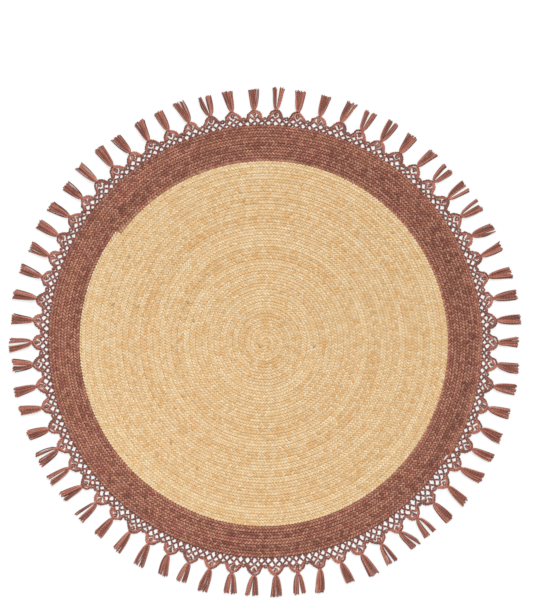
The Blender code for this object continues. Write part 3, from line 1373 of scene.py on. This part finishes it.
@dataclass
class Studio:
    """The floor, the light and the camera.

    Args:
        view: how much floor the view takes in from top to bottom.
        middle: the place on the floor that the camera looks at.
        distance: how high the camera is.
        backdrop: how far the floor looks plain white, from 0 to 1, whatever shadow lies on it.
        reach: half the floor's width.
        air: the strength of the light from all round.
    """

    view: float = 1.393
    middle: tuple[float, float] = (0.0081, 0.0998)
    distance: float = 3.5
    backdrop: float = 0.72
    reach: float = 12.0
    air: float = 0.45

    def light(self, name: str, kind: str, place: Place, size: float, power: float) -> None:
        """Adds a soft light that faces the rug.

        Args:
            name: its name.
            kind: SUN or AREA.
            place: where it shines from.
            size: its width, or the angle that it fills for a sun.
            power: its strength.
        """
        data = bpy.data.lights.new(name, kind)
        data.energy = power
        if kind == "SUN":
            data.angle = size
        else:
            data.size = size
        lamp = bpy.data.objects.new(name, data)
        lamp.location = place
        lamp.rotation_euler = Vector(place).to_track_quat("Z", "Y").to_euler()
        bpy.context.scene.collection.objects.link(lamp)

    def set_up(self) -> None:
        """Builds the studio round the rug."""
        self.lay_floor()
        self.light("key_light", "SUN", (0.8, 2.6, 3.0), math.radians(22), 2.6)
        self.light("fill_light", "AREA", (-1.6, -1.2, 3.2), 2.2, 22.0)
        self.fill_air()
        self.stand_camera()

    def lay_floor(self) -> None:
        """Lays a floor that looks white but still takes the rug's shadow."""
        mesh = bpy.data.meshes.new("studio_floor")
        reach = self.reach
        corners = [(-reach, -reach, 0), (reach, -reach, 0), (reach, reach, 0), (-reach, reach, 0)]
        mesh.from_pydata(corners, [], [(0, 1, 2, 3)])
        paint = bpy.data.materials.new("studio_white")
        paint.use_nodes = True
        sketch = TreeSketch(paint.node_tree)
        lit = sketch.take("ShaderNodeBsdfDiffuse", {"Color": (0.90, 0.90, 0.90, 1.0)})
        glow = sketch.take("ShaderNodeEmission", {"Color": WHITE, "Strength": 1.0})
        seen = sketch.take("ShaderNodeLightPath", out="Is Camera Ray")
        mixed = sketch.take("ShaderNodeMixShader", {0: seen * self.backdrop, 1: lit, 2: glow})
        sketch.node("ShaderNodeOutputMaterial", {"Surface": mixed})
        mesh.materials.append(paint)
        floor = bpy.data.objects.new("studio_floor", mesh)
        floor.location.z = -0.0002
        bpy.context.scene.collection.objects.link(floor)

    def fill_air(self) -> None:
        """Lights the rug from all round, with plain white behind it."""
        world = bpy.data.worlds.new("studio_air")
        world.use_nodes = True
        sketch = TreeSketch(world.node_tree)
        air = sketch.take("ShaderNodeBackground", {"Color": WHITE, "Strength": self.air})
        backdrop = sketch.take("ShaderNodeBackground", {"Color": WHITE, "Strength": 1.0})
        seen = sketch.take("ShaderNodeLightPath", out="Is Camera Ray")
        mixed = sketch.take("ShaderNodeMixShader", {0: seen, 1: air, 2: backdrop})
        sketch.node("ShaderNodeOutputWorld", {"Surface": mixed})
        bpy.context.scene.world = world
        bpy.context.scene.view_settings.view_transform = "Standard"

    def stand_camera(self) -> None:
        """Hangs the camera over the rug, facing straight down."""
        data = bpy.data.cameras.new("camera")
        data.sensor_fit = "VERTICAL"
        data.sensor_height = 36.0
        data.lens = data.sensor_height * self.distance / self.view
        camera = bpy.data.objects.new("camera", data)
        camera.location = (*self.middle, self.distance)
        bpy.context.scene.collection.objects.link(camera)
        bpy.context.scene.camera = camera


def build_disc(coil: Coil) -> tuple[bpy.types.Object, list[bpy.types.Object]]:
    """Makes the coiled braid, its stitches, its loose fibres and the sheets of painted shade under its
    gaps.

    Args:
        coil: the coil they follow.

    Returns:
        The undyed sheet of painted shade, and all the other pieces.
    """
    undyed = {"finish": NATURAL_JUTE, "slot": Slot.NATURAL_JUTE}
    dyed = {"finish": DYED_JUTE, "slot": Slot.DYED_JUTE}
    first, change, last = coil.core_turn, coil.natural_turns, coil.last_turn
    braid = PlaitedBraid(coil, lift=0.0016, ribbon_width=0.0053, ribbon_thickness=0.0037)
    inner = braid.plait("natural_braid", first, change, parts=4, **undyed)
    braid = PlaitedBraid(coil)
    outer = braid.plait("dyed_braid", change, last, parts=2, **dyed)
    sewing = SeamSewing(coil)
    thread = {"finish": NATURAL_THREAD, "slot": Slot.NATURAL_THREAD}
    inner.append(sewing.sew("natural_seam_thread", 1.0, change - 1, **thread))
    thread = {"finish": DYED_THREAD, "slot": Slot.DYED_THREAD}
    outer.append(sewing.sew("dyed_seam_thread", change - 1, last - 1, **thread))
    meeting = coil.pitch * change
    loose = LooseFibre(coil)
    ring = {"count": 1900, "inner": 0.01, "outer": meeting}
    fibre = {"finish": NATURAL_THREAD, "slot": Slot.NATURAL_JUTE}
    inner.append(loose.strew("natural_loose_fibre", **ring, **fibre))
    ring = {"count": 700, "inner": meeting, "outer": coil.radius - 0.010}
    fibre = {"finish": DYED_THREAD, "slot": Slot.DYED_JUTE}
    outer.append(loose.strew("dyed_loose_fibre", **ring, **fibre))
    # Sheets under the braid's gaps, standing in for shade and darkened with painted shade.
    gap_sheet = GapShadeSheet(coil)
    ring = {"inner": 0.0004, "outer": meeting, "low": 0.0036}
    inner_gap_sheet = gap_sheet.lay("natural_gap_shade_sheet", **ring, **undyed)
    ring = {"inner": meeting, "outer": coil.radius - 0.008, "low": 0.0032}
    outer_gap_sheet = gap_sheet.lay("dyed_gap_shade_sheet", **ring, **dyed)
    return inner_gap_sheet, [*inner, outer_gap_sheet, *outer]


def build_edging(coil: Coil) -> list[bpy.types.Object]:
    """Makes the net and the tassels, one run after another.

    Args:
        coil: the coil they edge.

    Returns:
        The pieces.
    """
    net = KnottedNet(coil)
    edging = net.make_flat_part()
    rng = random.Random(11)
    for number, joint in enumerate(BEHAVIOUR["joints"]):
        edging += net.make_run(number, joint)
        tassels = [Tassel(net, 3 * number + side, rng, side) for side in (-1, 0, 1)]
        paths = [path for tassel in tassels for path in tassel.paths() + tassel.tie()]
        sizes = {"Width": tassels[0].yarn, "Twist": 0.01, "Step": 0.0045}
        sizes["Finish"] = COTTON.material()
        name = f"fringe_tassels_{number + 1:02d}"
        yarns = CordTree(plies=1, sides=5).sketch()
        piece = woven(name, yarns, sizes, guide_mesh(f"{name}_paths", paths))
        settle(piece, joint["child"], Slot.COTTON_CORD, joint["child"])
        edging.append(piece)
    return edging


def main() -> None:
    """Builds the rug's pieces in order."""
    logging.basicConfig(level=logging.INFO, format="%(name)s %(message)s")
    Studio().set_up()
    coil = Coil()
    gap_sheet, others = build_disc(coil)
    others += build_edging(coil)


if __name__ == "__main__":
    main()
